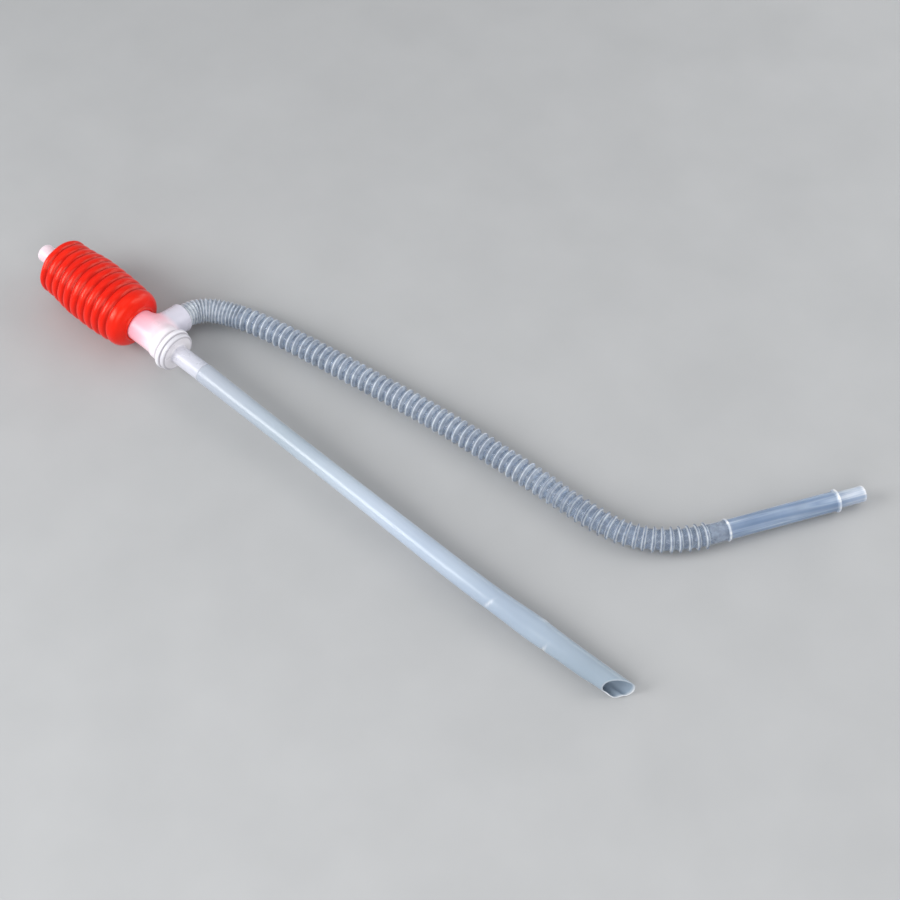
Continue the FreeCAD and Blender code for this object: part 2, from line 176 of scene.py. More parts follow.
def loops_to_mesh(name, loops, closed=True):
    """loops: rings of points with equal counts, joined one to the next; closed joins last to first (a hollow shell)."""
    n = len(loops[0])
    verts = [p for r in loops for p in r]
    faces = []
    m = len(loops)
    for k in range(m if closed else m - 1):
        a, b = k * n, ((k + 1) % m) * n
        for i in range(n):
            j = (i + 1) % n
            faces.append((a + i, a + j, b + j, b + i))
    return new_mesh(name, verts, faces)


def revolve(name, prof, origin, axis, up, segs=96, wob=None):
    """Closed profile [(s, r)] in mm turned about axis; r below 1e-6 becomes a pole."""
    side = axis.cross(up).normalized()
    verts, idx = [], []
    for s, r in prof:
        if r < 1e-6:
            idx.append([len(verts)])
            verts.append(origin + axis * (s * MM))
            continue
        ring = []
        for i in range(segs):
            a = 2 * math.pi * i / segs
            rr, ss = (r, s) if wob is None else wob(r, s, a)
            ring.append(len(verts))
            verts.append(origin + axis * (ss * MM) + (up * math.cos(a) + side * math.sin(a)) * (rr * MM))
        idx.append(ring)
    faces = []
    m = len(prof)
    for k in range(m):
        A, B = idx[k], idx[(k + 1) % m]
        if len(A) == 1 and len(B) == 1:
            continue
        for i in range(segs):
            j = (i + 1) % segs
            if len(A) == 1:
                faces.append((A[0], B[j], B[i]))
            elif len(B) == 1:
                faces.append((A[i], A[j], B[0]))
            else:
                faces.append((A[i], A[j], B[j], B[i]))
    return new_mesh(name, verts, faces)


def arc_pts(c, r, a0, a1, n):
    return [(c[0] + r * math.cos(math.radians(a0 + (a1 - a0) * k / n)), c[1] + r * math.sin(math.radians(a0 + (a1 - a0) * k / n))) for k in range(n + 1)]


# ------------------------------------------------------------------ materials
def mat(name):
    m = bpy.data.materials.new(name)
    m.use_nodes = True
    nt = m.node_tree
    b = nt.nodes["Principled BSDF"]
    return m, nt, b


def node(nt, kind, **kw):
    n = nt.nodes.new(kind)
    for k, v in kw.items():
        setattr(n, k, v)
    return n


def tex_coord(nt, scale=(1, 1, 1), loc=(0, 0, 0), rot=(0, 0, 0)):
    tc = node(nt, "ShaderNodeTexCoord")
    mp = node(nt, "ShaderNodeMapping")
    mp.inputs["Scale"].default_value = scale
    mp.inputs["Location"].default_value = loc
    mp.inputs["Rotation"].default_value = rot
    nt.links.new(tc.outputs["Object"], mp.inputs["Vector"])
    return mp.outputs["Vector"]


def noise_tex(nt, vec, scale, detail=4.0, rough=0.5):
    n = node(nt, "ShaderNodeTexNoise")
    n.inputs["Scale"].default_value = scale
    n.inputs["Detail"].default_value = detail
    n.inputs["Roughness"].default_value = rough
    nt.links.new(vec, n.inputs["Vector"])
    return n.outputs["Fac"]


def ramp(nt, fac, stops):
    r = node(nt, "ShaderNodeValToRGB")
    els = r.color_ramp.elements
    while len(els) < len(stops):
        els.new(0.5)
    for e, (p, c) in zip(els, stops):
        e.position = p
        e.color = (*c, 1.0) if len(c) == 3 else c
    nt.links.new(fac, r.inputs["Fac"])
    return r.outputs["Color"]


def bump(nt, height, strength, distance, normal=None):
    b = node(nt, "ShaderNodeBump")
    b.inputs["Strength"].default_value = strength
    b.inputs["Distance"].default_value = distance
    nt.links.new(height, b.inputs["Height"])
    if normal is not None:
        nt.links.new(normal, b.inputs["Normal"])
    return b.outputs["Normal"]


def rough_from(nt, fac, lo, hi):
    mr = node(nt, "ShaderNodeMapRange")
    mr.inputs["To Min"].default_value = lo
    mr.inputs["To Max"].default_value = hi
    nt.links.new(fac, mr.inputs["Value"])
    return mr.outputs["Result"]


def along_axis(nt, s_from, s_to):
    """0 to 1 between two stations (mm) on the pump axis."""
    tc = node(nt, "ShaderNodeTexCoord")
    dot = node(nt, "ShaderNodeVectorMath", operation="DOT_PRODUCT")
    dot.inputs[1].default_value = tuple(AX)
    nt.links.new(tc.outputs["Object"], dot.inputs[0])
    base = S0.dot(AX)
    mr = node(nt, "ShaderNodeMapRange")
    mr.inputs["From Min"].default_value = base + s_from * MM
    mr.inputs["From Max"].default_value = base + s_to * MM
    nt.links.new(dot.outputs["Value"], mr.inputs["Value"])
    return mr.outputs["Result"]


def mix_color(nt, fac, a, b, blend="MIX"):
    m = node(nt, "ShaderNodeMix", data_type="RGBA", blend_type=blend)
    if isinstance(fac, float):
        m.inputs[0].default_value = fac
    else:
        nt.links.new(fac, m.inputs[0])
    for sock, v in ((m.inputs[6], a), (m.inputs[7], b)):
        if isinstance(v, tuple):
            sock.default_value = (*v, 1.0)
        else:
            nt.links.new(v, sock)
    return m.outputs[2]


def attr(nt, name):
    a = node(nt, "ShaderNodeAttribute", attribute_name=name)
    return a.outputs["Fac"]


def set_attr(ob, name, values):
    a = ob.data.attributes.new(name, "FLOAT", "POINT")
    a.data.foreach_set("value", values)


def scale_color(nt, fac, col, dark):
    """Colour taken towards col * dark as fac goes to 1."""
    return mix_color(nt, fac, col, mix_color(nt, 1.0, col, dark, "MULTIPLY"))


def bulb_material():
    m, nt, b = mat("bulb_red")
    v = tex_coord(nt)
    big = noise_tex(nt, v, 34.0, 3.0)
    fine = noise_tex(nt, v, 700.0, 4.0, 0.6)
    orange = noise_tex(nt, v, 210.0, 2.0, 0.5)
    col = ramp(nt, big, [(0.25, (0.72, 0.006, 0.0005)), (0.75, (0.85, 0.014, 0.002))])
    # painted shade: the red is taken darker in the grooves and where the wall curls in at the cap and the neck
    col = scale_color(nt, attr(nt, "painted_groove_shade"), col, (0.64, 0.34, 0.34))
    nt.links.new(col, b.inputs["Base Color"])
    nt.links.new(rough_from(nt, fine, 0.24, 0.34), b.inputs["Roughness"])
    n1 = bump(nt, orange, 0.10, 0.0006)
    nt.links.new(bump(nt, fine, 0.10, 0.00015, n1), b.inputs["Normal"])
    b.inputs["Subsurface Weight"].default_value = 0.18
    b.inputs["Subsurface Radius"].default_value = (1.0, 0.12, 0.06)
    b.inputs["Subsurface Scale"].default_value = 0.003
    b.inputs["Specular IOR Level"].default_value = 0.60
    b.inputs["Specular Tint"].default_value = (1.0, 0.56, 0.44, 1.0)
    b.inputs["IOR"].default_value = 1.46
    return m


def off_axis(nt, r_from, r_to):
    """0 to 1 between two distances (mm) from the pump axis."""
    tc = node(nt, "ShaderNodeTexCoord")
    sub = node(nt, "ShaderNodeVectorMath", operation="SUBTRACT")
    sub.inputs[1].default_value = tuple(S0)
    nt.links.new(tc.outputs["Object"], sub.inputs[0])
    cr = node(nt, "ShaderNodeVectorMath", operation="CROSS_PRODUCT")
    cr.inputs[1].default_value = tuple(AX)
    nt.links.new(sub.outputs["Vector"], cr.inputs[0])
    ln = node(nt, "ShaderNodeVectorMath", operation="LENGTH")
    nt.links.new(cr.outputs["Vector"], ln.inputs[0])
    mr = node(nt, "ShaderNodeMapRange", interpolation_type="SMOOTHSTEP")
    mr.inputs["From Min"].default_value = r_from * MM
    mr.inputs["From Max"].default_value = r_to * MM
    nt.links.new(ln.outputs["Value"], mr.inputs["Value"])
    return mr.outputs["Result"]


def milky_material(name, c0, c1, trans, rough=(0.22, 0.36), sss=0.4, scale=(1, 1, 1), stops=None, sheen=0.0, inner=None, rim=None, outside=None, edge=None):
    """stops: [(station mm, colour)] along the pump axis, laid under the cloud."""
    m, nt, b = mat(name)
    v = tex_coord(nt, scale=scale)
    cloud = noise_tex(nt, v, 60.0, 5.0)
    fine = noise_tex(nt, tex_coord(nt), 900.0, 3.0, 0.6)
    col = ramp(nt, cloud, [(0.3, c0), (0.7, c1)])
    broad = noise_tex(nt, tex_coord(nt, scale=(0.6, 1, 1), loc=(0.3, 0, 0)), 26.0, 2.0, 0.4)
    col = mix_color(nt, 1.0, col, ramp(nt, broad, [(0.38, (0.955, 0.96, 0.97)), (0.50, (1.0, 1.0, 1.0)), (0.62, (1.03, 1.025, 1.015))]), "MULTIPLY")
    if stops is not None:
        lo, hi = stops[0][0], stops[-1][0]
        f = along_axis(nt, lo, hi)
        tint = ramp(nt, f, [((s - lo) / (hi - lo), c) for s, c in stops])
        # painted shade: greyer away from the axis, on the port's end and the flange
        if outside is not None:
            tint = mix_color(nt, off_axis(nt, outside[0], outside[1]), tint, outside[2])
        if edge is not None:                           # thin flange: painted shade seen through the web, painted highlight on the rim
            f = off_axis(nt, 12.9, 13.6)
            g = along_axis(nt, 76.5, 78.5)
            both = node(nt, "ShaderNodeMath", operation="MULTIPLY")
            nt.links.new(f, both.inputs[0])
            nt.links.new(g, both.inputs[1])
            tint = mix_color(nt, both.outputs[0], tint, edge[0])
            f2 = off_axis(nt, edge[2] - 1.1, edge[2] - 0.2)
            both2 = node(nt, "ShaderNodeMath", operation="MULTIPLY")
            nt.links.new(f2, both2.inputs[0])
            nt.links.new(g, both2.inputs[1])
            tint = mix_color(nt, both2.outputs[0], tint, edge[1])
        col = mix_color(nt, 1.0, col, tint, "MULTIPLY")
    # painted shade: the inner wall's colour is taken darker
    if inner is not None:
        col = scale_color(nt, attr(nt, "inner"), col, inner)
    # painted highlight: paler where the rim value is set, on the cut's lip; the creases are painted paler too
    if rim is not None:
        col = mix_color(nt, attr(nt, "rim"), col, rim)
    nt.links.new(col, b.inputs["Base Color"])
    nt.links.new(rough_from(nt, cloud, *rough), b.inputs["Roughness"])
    n1 = bump(nt, broad, 0.06, 0.0008)
    nt.links.new(bump(nt, fine, 0.08, 0.0001, n1), b.inputs["Normal"])
    b.inputs["Transmission Weight"].default_value = trans
    b.inputs["Subsurface Weight"].default_value = sss
    b.inputs["Subsurface Radius"].default_value = (1.0, 1.0, 1.0)
    b.inputs["Subsurface Scale"].default_value = 0.003
    b.inputs["IOR"].default_value = 1.45
    if sheen:
        b.inputs["Sheen Weight"].default_value = sheen
        b.inputs["Sheen Roughness"].default_value = 0.2
    return m


def hose_material(name, low, high, trans, inner, rough=(0.12, 0.26), streak=False):
    m, nt, b = mat(name)
    v = tex_coord(nt)
    cloud = noise_tex(nt, v, 90.0, 5.0)
    fine = noise_tex(nt, v, 600.0, 2.0, 0.5)
    wide = noise_tex(nt, v, 16.0, 3.0)
    # painted light and shade: paler on the rings' tops and flanks, darker in the roots
    base = mix_color(nt, attr(nt, "painted_ring_light"), low, high)
    if streak:
        shade = ramp(nt, cloud, [(0.3, (0.90, 0.90, 0.91)), (0.7, (1.0, 1.0, 1.0))])
    else:
        shade = ramp(nt, noise_tex(nt, v, 300.0, 2.0, 0.5), [(0.34, (0.80, 0.81, 0.84)), (0.66, (1.16, 1.15, 1.13))])
    col = mix_color(nt, 1.0, base, shade, "MULTIPLY")
    shade2 = ramp(nt, wide, [(0.35, (0.90, 0.91, 0.93)), (0.65, (1.06, 1.05, 1.04))])
    col = mix_color(nt, 1.0, col, shade2, "MULTIPLY")
    if streak:
        st = ramp(nt, attr(nt, "streak"), [(0.0, (0.72, 0.78, 0.86)), (0.40, (1.0, 1.0, 1.0)), (0.60, (1.25, 1.20, 1.12)), (0.72, (0.95, 0.97, 1.0)), (1.0, (1.7, 1.55, 1.36))])
        col = mix_color(nt, 1.0, col, st, "MULTIPLY")
    # painted shade: the inner wall's colour is taken darker
    col = scale_color(nt, attr(nt, "inner"), col, inner)
    nt.links.new(col, b.inputs["Base Color"])
    nt.links.new(rough_from(nt, cloud, *rough), b.inputs["Roughness"])
    n1 = bump(nt, cloud, 0.10, 0.0005)
    nt.links.new(bump(nt, fine, 0.04, 0.0001, n1), b.inputs["Normal"])
    tr = node(nt, "ShaderNodeMapRange")
    tr.inputs["To Min"].default_value = trans
    tr.inputs["To Max"].default_value = trans * 0.46
    nt.links.new(attr(nt, "painted_ring_light"), tr.inputs["Value"])
    nt.links.new(tr.outputs["Result"], b.inputs["Transmission Weight"])
    b.inputs["IOR"].default_value = 1.42
    b.inputs["Sheen Weight"].default_value = 0.5
    b.inputs["Sheen Roughness"].default_value = 0.2
    return m


WHITE0, WHITE1 = (0.93, 0.93, 0.93), (1.0, 1.0, 1.0)
M_BULB = bulb_material()
# the stops paint the bulb's reflected red light as pink on the neck, fading to white towards the flange
M_TEE = milky_material("tee_milky", WHITE0, WHITE1, 0.03, sss=0.3, outside=(13.2, 19.0, (0.68, 0.66, 0.75)), edge=((0.58, 0.55, 0.59), (0.88, 0.86, 0.90), 16.4),
                       stops=[(46.0, (0.98, 0.42, 0.50)), (52.0, (0.97, 0.42, 0.50)), (60.0, (0.97, 0.54, 0.62)), (66.0, (0.98, 0.72, 0.79)), (74.0, (0.98, 0.89, 0.94)), (84.0, (0.98, 0.95, 0.98)), (96.0, (0.97, 0.96, 0.99))])
M_ADAPTER = milky_material("adapter_milky", WHITE0, WHITE1, 0.16, sss=0.3, edge=((0.62, 0.59, 0.63), (0.84, 0.82, 0.87), 15.2), stops=[(84.0, (0.97, 0.93, 0.97)), (88.4, (0.97, 0.93, 0.97)), (89.5, (0.74, 0.73, 0.80)), (115.0, (0.66, 0.68, 0.77))])
# the stops paint the bulb's reflected red light as pink on the cap, strongest next to the bulb
M_CAP = milky_material("cap_milky", WHITE0, WHITE1, 0.08, stops=[(-61.0, (0.90, 0.78, 0.85)), (-50.0, (0.91, 0.72, 0.80)), (-42.0, (0.93, 0.56, 0.64))])
# the stops paint light along the tube: paler near the tee, darkest towards the tip
M_TUBE = milky_material("tube_milky", WHITE0, WHITE1, 0.18, rough=(0.16, 0.30), scale=(0.25, 1, 1), sss=0.2, sheen=1.0, inner=(0.86, 0.88, 0.92), rim=(0.93, 0.95, 0.98),
                        stops=[(115.0, (0.52, 0.565, 0.655)), (200.0, (0.50, 0.58, 0.655)), (300.0, (0.56, 0.65, 0.78)), (400.0, (0.46, 0.55, 0.67)), (480.0, (0.355, 0.435, 0.52)), (505.0, (0.36, 0.44, 0.52))])
M_HOSE = hose_material("hose_clear", (0.49, 0.59, 0.73), (0.95, 0.98, 1.0), 0.76, (0.97, 0.98, 0.99))
M_NOZ = hose_material("nozzle_clear", (0.54, 0.67, 0.85), (0.90, 0.93, 0.98), 0.62, (0.92, 0.94, 0.96), streak=True)
M_SEAL = milky_material("seal_rubber", (0.84, 0.82, 0.82), (0.90, 0.88, 0.88), 0.0, rough=(0.5, 0.65), sss=0.1)
M_VALVE = milky_material("valve_rubber", (0.62, 0.62, 0.60), (0.72, 0.72, 0.70), 0.0, rough=(0.45, 0.6), sss=0.1)


def steel():
    m, nt, b = mat("pin_steel")
    v = tex_coord(nt, scale=(1, 8, 8))
    f = noise_tex(nt, v, 400.0, 3.0)
    nt.links.new(ramp(nt, f, [(0.3, (0.50, 0.50, 0.52)), (0.7, (0.66, 0.66, 0.68))]), b.inputs["Base Color"])
    nt.links.new(rough_from(nt, f, 0.25, 0.4), b.inputs["Roughness"])
    b.inputs["Metallic"].default_value = 1.0
    return m


M_STEEL = steel()


def put(ob, m):
    ob.data.materials.clear()
    ob.data.materials.append(m)


# ------------------------------------------------------------------ discharge hose
track = Track(line)
L = track.length
LAST_CREST = L - 15.1 * MM
ROOT_R, CREST_R, WALL = 7.30, 9.50, 0.60
TIGHT_N, TIGHT_P = 16, 3.07 * MM
FIRST_LOOSE = 52.9 * MM
LOOSE_N = 66
LOOSE_P = (LAST_CREST - FIRST_LOOSE) / (LOOSE_N - 1)
stations = []       # (arc length, outer radius, painted light and shade of the ring) from inside the port to the far end
IN = -5.5 * MM
stations += [(IN, 8.05, 0.2), (IN + 0.4 * MM, 8.2, 0.2), (-0.6 * MM, 8.2, 0.2), (0.2 * MM, 8.1, 0.1)]
TIGHT = [(-0.5, 0.0), (-0.40, 0.06), (-0.28, 0.34), (-0.17, 0.72), (-0.07, 0.96), (0.0, 1.0), (0.07, 0.96), (0.17, 0.72), (0.28, 0.34), (0.40, 0.06)]
# HALF and TOOTH, half a ring from root to top: (position, height, painted light and shade)
HALF = [(0.455, 0.0, 0.02), (0.40, 0.07, 0.14), (0.34, 0.24, 0.34), (0.28, 0.46, 0.36), (0.22, 0.68, 0.27), (0.16, 0.86, 0.26), (0.10, 0.96, 0.30), (0.05, 0.995, 0.46)]
TOOTH = [(0.36, 0.0, 0.08), (0.29, 0.03, 0.14), (0.235, 0.12, 0.22), (0.185, 0.28, 0.62), (0.14, 0.48, 1.0), (0.10, 0.66, 0.40), (0.055, 0.86, 0.10), (0.022, 0.97, 0.12)]


def ring_shape(m):
    """Half lobes at m = 0, sharper teeth with thick feet at m = 1."""
    half = [tuple(x + (y - x) * m for x, y in zip(a, b)) for a, b in zip(HALF, TOOTH)]
    return [(-f, r, g) for f, r, g in half] + [(0.0, 1.0, 0.95 - 0.75 * m)] + [(f, r, g) for f, r, g in reversed(half)]


first_tight = FIRST_LOOSE - 4.5 * MM - (TIGHT_N - 1) * TIGHT_P
for k in range(TIGHT_N):
    c = first_tight + k * TIGHT_P
    h = min(1.0, 0.55 + 0.2 * k)
    open_out = max(0.0, (k - 11) / 4.0)                 # the last few open out towards the stretched rings
    root = 8.35 - 0.75 * open_out
    top = 9.50 + 0.08 * math.sin(k * 2.3)
    for f, r in TIGHT:
        # painted light: paler towards each pleat's top, dimmer from pleat to pleat
        stations.append((c + f * TIGHT_P, root + (top - root) * r * h, 0.52 - 0.020 * k + 0.34 * r ** 2))
for k in range(LOOSE_N):
    c = FIRST_LOOSE + k * LOOSE_P + 0.16 * MM * math.sin(k * 2.9)
    j = 0.25 * math.sin(k * 1.7) + 0.2 * math.sin(k * 0.61 + 1.0)
    m = min(1.0, max(0.0, (k - 41) / 10.0))             # towards the nozzle the rings are sharper teeth
    shape = ring_shape(m)[0 if k > 0 else 1:]
    slim = 0.93 + 0.05 * m
    for f, r, painted_light in shape:
        stations.append((c + f * slim * LOOSE_P, ROOT_R + (CREST_R + 0.10 * j - ROOT_R) * r, painted_light))
stations += [(LAST_CREST + 3.4 * MM, ROOT_R, 0.20), (L - 8 * MM, 7.28, 0.22), (L - 3 * MM, 7.25, 0.22), (L - 0.2 * MM, 7.25, 0.22), (L, 7.15, 0.2)]
SEG = 64


def ring_on(track, s, r, segs=SEG):
    p, t, u = track.at(s)
    w = t.cross(u)
    k = s / MM
    out = []
    for i in range(segs):
        a = 2 * math.pi * i / segs
        rr = r * (1.0 + 0.006 * math.sin(2 * a + 0.11 * k) + 0.004 * math.sin(3 * a - 0.07 * k))
        out.append(p + (u * math.cos(a) + w * math.sin(a)) * (rr * MM))
    return out


assert all(b[0] > a[0] for a, b in zip(stations, stations[1:])), "hose stations out of order"
outer = [ring_on(track, a, r) for a, r, _ in stations]
inner = [ring_on(track, a, r - WALL) for a, r, _ in reversed(stations)]
hose = loops_to_mesh("corrugated_hose", outer + inner)
# painted light on the rings; the inner wall gets half of it, painted darker
set_attr(hose, "painted_ring_light", [c for _, _, c in stations for _ in range(SEG)] + [0.5 * c for _, _, c in reversed(stations) for _ in range(SEG)])
set_attr(hose, "inner", [0.0] * (SEG * len(stations)) + [1.0] * (SEG * len(stations)))
put(hose, M_HOSE)
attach(hose, "pump")
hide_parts("discharge_hose")

# ------------------------------------------------------------------ nozzle
nd = (line[-1] - line[-4]).normalized()
nd = Vector((nd.x, nd.y, 0.0)).normalized() * math.cos(math.radians(0.7)) + Vector((0, 0, -math.sin(math.radians(0.7))))
n0 = line[-1].copy()
nup = (Vector((0, 0, 1)) - nd * nd.z).normalized()
prof, nozzle_painted_light = [], []


def np_(s, r, c=0.0):
    prof.append((s, r))
    nozzle_painted_light.append(c)


np_(0.03, 6.0), np_(0.03, 7.4, 0.3)
for k in range(1, 10):
    a = math.pi * k / 10
    np_(1.05 - 0.98 * math.cos(a), 7.45 + 0.82 * math.sin(a), math.sin(a))
for s, r, c in ((2.25, 7.34, 0.3), (2.8, 7.2, 0.05), (4.0, 7.18, 0.0), (8.0, 7.18, 0.0), (20.0, 7.2, 0.0), (40.0, 7.22, 0.0), (60.0, 7.22, 0.0), (78.0, 7.22, 0.0), (82.6, 7.24, 0.0), (83.3, 7.42, 0.3)):
    np_(s, r, c)
for k in range(1, 12):
    a = math.pi * k / 12
    np_(84.6 - 1.15 * math.cos(a), 7.45 + 1.07 * math.sin(a), math.sin(a))
for s, r, c in ((85.8, 7.1, 0.4), (86.2, 6.5, 0.3), (86.7, 6.08, 0.25), (87.5, 5.92, 0.3), (92.0, 5.88, 0.45), (98.0, 5.86, 0.5), (103.0, 5.88, 0.5), (104.4, 6.0, 0.7)):
    np_(s, r, c)
for x in (45, 70, 95, 120, 145, 168):
    a = math.radians(x)
    np_(105.2 - 0.8 * math.cos(a), 5.55 + 0.48 * math.sin(a), 1.0)
n_out = len(prof)
for s, r in ((106.0, 5.3), (105.7, 4.98), (105.0, 4.8), (103.0, 4.74), (88.5, 4.74), (86.5, 4.85), (84.8, 5.4), (83.3, 5.9), (81.5, 6.1), (55.0, 6.12), (30.0, 6.1), (4.0, 6.05)):
    np_(s, r, 0.25 if s > 88 else 0.0)
NSEG = 80
nozzle = revolve("hose_nozzle", prof, n0, nd, nup, segs=NSEG, wob=lambda r, s, a: (r * (1.0 + 0.004 * math.sin(2 * a + 0.05 * s) + 0.003 * math.sin(3 * a)), s))
# painted highlights on the beads and round the tip, a little also on the inner wall near the tip
set_attr(nozzle, "painted_ring_light", [c for c in nozzle_painted_light for _ in range(NSEG)])
set_attr(nozzle, "streak", [min(1.0, max(0.0, 0.45 + 0.95 * noise.noise(Vector((3.4 * math.cos(2 * math.pi * i / NSEG), 3.4 * math.sin(2 * math.pi * i / NSEG), 0.014 * sp)))))
                            for sp, _ in prof for i in range(NSEG)])
set_attr(nozzle, "inner", [1.0 if k >= n_out else 0.0 for k in range(len(prof)) for _ in range(NSEG)])
put(nozzle, M_NOZ)
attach(nozzle, "pump")
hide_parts("outlet_nozzle")

path_pts = [track.at(IN)[0]] + [p for p in line]
tuple(line[0])
[tuple(p) for p in path_pts]

# ------------------------------------------------------------------ bellows bulb
ENV = [(-38.0, 22.75), (-35.5, 23.0), (-30.0, 22.95), (-24.0, 23.5), (-18.0, 24.25), (-12.0, 25.05), (-6.0, 25.45), (4.0, 25.45), (16.0, 25.25), (26.0, 24.7), (34.0, 23.85), (38.0, 23.3)]
PITCH, G0, NG = 7.5, -34.0, 10


def lerp_table(tab, x):
    if x <= tab[0][0]:
        return tab[0][1]
    for k in range(len(tab) - 1):
        x0, y0 = tab[k]
        x1, y1 = tab[k + 1]
        if x <= x1:
            m0 = (y1 - y0) / (x1 - x0) if k == 0 else (y1 - tab[k - 1][1]) / (x1 - tab[k - 1][0])
            m1 = (y1 - y0) / (x1 - x0) if k == len(tab) - 2 else (tab[k + 2][1] - y0) / (tab[k + 2][0] - x0)
            h = x1 - x0
            t = (x - x0) / h
            return (2 * t ** 3 - 3 * t * t + 1) * y0 + (t ** 3 - 2 * t * t + t) * h * m0 + (-2 * t ** 3 + 3 * t * t) * y1 + (t ** 3 - t * t) * h * m1
    return tab[-1][1]


def rib(s):
    """(radius, painted shade in the grooves 0 to 1) on the ribbed stretch."""
    g = (s - G0) / PITCH
    u = g - math.floor(g) - 0.5
    d = 0.5 - abs(u)                                   # distance to the nearest groove, in pitches
    if s < G0:
        d = (G0 - s) / PITCH
    if s > G0 + PITCH * (NG - 1):
        d = (s - G0 - PITCH * (NG - 1)) / PITCH
    v = math.exp(-(d / 0.15) ** 2)
    fall = 1.2 * max(0.0, 1 - 2 * d) ** 1.7
    return lerp_table(ENV, s) - fall - 0.80 * v, 0.60 * v + 0.40 * math.exp(-(d / 0.27) ** 2)


bprof, bulb_painted_shade = [], []
# end walls: (station, radius, painted shade), the shade painted darker where the wall curls in
for s, r, g in ((-41.2, 4.62, 0.1), (-41.2, 7.4, 0.3), (-41.3, 8.6, 0.2), (-41.9, 10.6, 0.0), (-42.35, 12.6, 0.0), (-42.45, 14.6, 0.0), (-42.2, 16.4, 0.0), (-41.6, 18.0, 0.0),
                (-40.75, 19.5, 0.0), (-39.9, 20.8, 0.0), (-39.0, 21.85, 0.0), (-38.2, 22.5, 0.0), (-37.4, 22.85, 0.0)):
    bprof.append((s, r))
    bulb_painted_shade.append(g)
s = -36.9
while s < G0 + PITCH * (NG - 1) + 2.6:
    r, v = rib(s)
    bprof.append((s, r))
    bulb_painted_shade.append(v)
    g = (s - G0) / PITCH
    near = abs(g - round(g))
    s += 0.22 if near < 0.19 else 0.5
for s, r, g in ((36.6, 23.52, 0.0), (37.8, 23.42, 0.0), (39.2, 23.2, 0.0), (40.5, 22.85, 0.0), (41.7, 22.3, 0.0), (42.8, 21.5, 0.0), (43.7, 20.5, 0.0), (44.5, 19.2, 0.0), (45.2, 17.6, 0.0),
                (45.8, 16.1, 0.1), (46.3, 15.05, 0.3), (46.8, 14.45, 0.5), (47.2, 14.15, 0.5), (47.6, 13.95, 0.4), (47.75, 13.6, 0.4), (47.7, 12.75, 0.6)):
    bprof.append((s, r))
    bulb_painted_shade.append(g)
n_bout = len(bprof)
NECK_I = 12.42
W = 1.35
inner_prof = [(47.4, NECK_I), (44.0, NECK_I), (43.2, 13.4), (42.2, 17.0), (40.9, 19.6), (39.0, 21.2), (36.6, 21.9)]
for k in reversed(range(NG)):
    g = G0 + PITCH * k
    for ds in (1.5, 0.75, 0.0, -0.75, -1.5):
        inner_prof.append((g + ds, rib(g + ds)[0] - W - 0.1))
    if k > 0:
        inner_prof.append((g - PITCH / 2, rib(g - PITCH / 2)[0] - W))
inner_prof += [(-36.8, 21.2), (-38.2, 20.2), (-39.4, 18.4), (-40.6, 16.0), (-41.0, 13.5), (-40.4, 10.5), (-39.8, 8.5), (-39.7, 4.62)]
BSEG = 144


def wob(r, s, a):
    if r < 14.5:
        return r, s
    k = min(1.0, (r - 14.5) / 5.0)
    if s > 38.0:
        k *= max(0.0, 1.0 - (s - 38.0) / 6.0)
    w = noise.noise(Vector((math.cos(a) * 1.3, math.sin(a) * 1.3, s * 0.035)))
    w2 = noise.noise(Vector((math.cos(a) * 1.6 + 7.0, math.sin(a) * 1.6, s * 0.05)))
    w3 = noise.noise(Vector((math.cos(a) * 2.2, math.sin(a) * 2.2 + 3.0, s * 0.09)))
    if -37.0 < s < 36.5:                               # the folds run shallower on one side
        env = lerp_table(ENV, s)
        m = 0.86 + 0.22 * math.cos(a - math.radians(75.0)) + 0.30 * w3
        lift = W + 0.1 if r < env - 2.6 else 0.0
        r = env - lift - (env - lift - r) * m
    return r + 0.16 * w * k, s + 0.75 * w2 * k


bulb = revolve("bellows_bulb", bprof + inner_prof, S0, AX, ZV, segs=BSEG, wob=wob)
# painted shade in the grooves; the inner surface is painted darker all over
set_attr(bulb, "painted_groove_shade", [g for g in bulb_painted_shade for _ in range(BSEG)] + [0.8] * (len(inner_prof) * BSEG))
put(bulb, M_BULB)
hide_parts("squeeze_bulb")
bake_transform(bulb)

# ------------------------------------------------------------------ suction tube
A0, A1 = math.radians(-0.87), math.radians(1.75)
TS0, TIP = 115.05, 502.0
b0, b1 = 352.0, 412.0
tube_line = [at(TS0)]
ds = 2.0
s_, y_ = TS0, 0.0
while s_ < TIP + 14:
    f = min(1.0, max(0.0, (s_ + ds / 2 - b0) / (b1 - b0)))
    a = A0 + (A1 - A0) * f
    s_ += ds * math.cos(a)
    y_ += ds * math.sin(a)
    tube_line.append(at(s_, y_))
ttrack = Track(tube_line, up=ZV)
TUBE_R = [(115.0, 7.55), (120.0, 7.6), (132.0, 7.5), (150.0, 7.4), (168.0, 7.25), (204.0, 7.22), (240.0, 7.28), (276.0, 7.42), (300.0, 7.55), (324.0, 7.77), (348.0, 7.97), (372.0, 8.1), (396.0, 8.2),
          (420.0, 8.28), (444.0, 8.3), (468.0, 8.28), (502.0, 8.15), (520.0, 8.15)]


def around(ang, c, wdt):
    d = (ang - c + 180) % 360 - 180
    return math.exp(-(d / wdt) ** 2)


SEGT = 120
NX, NY, NZ = 0.70, -0.66, 0.27          # the oblique cut's normal: along, across, up


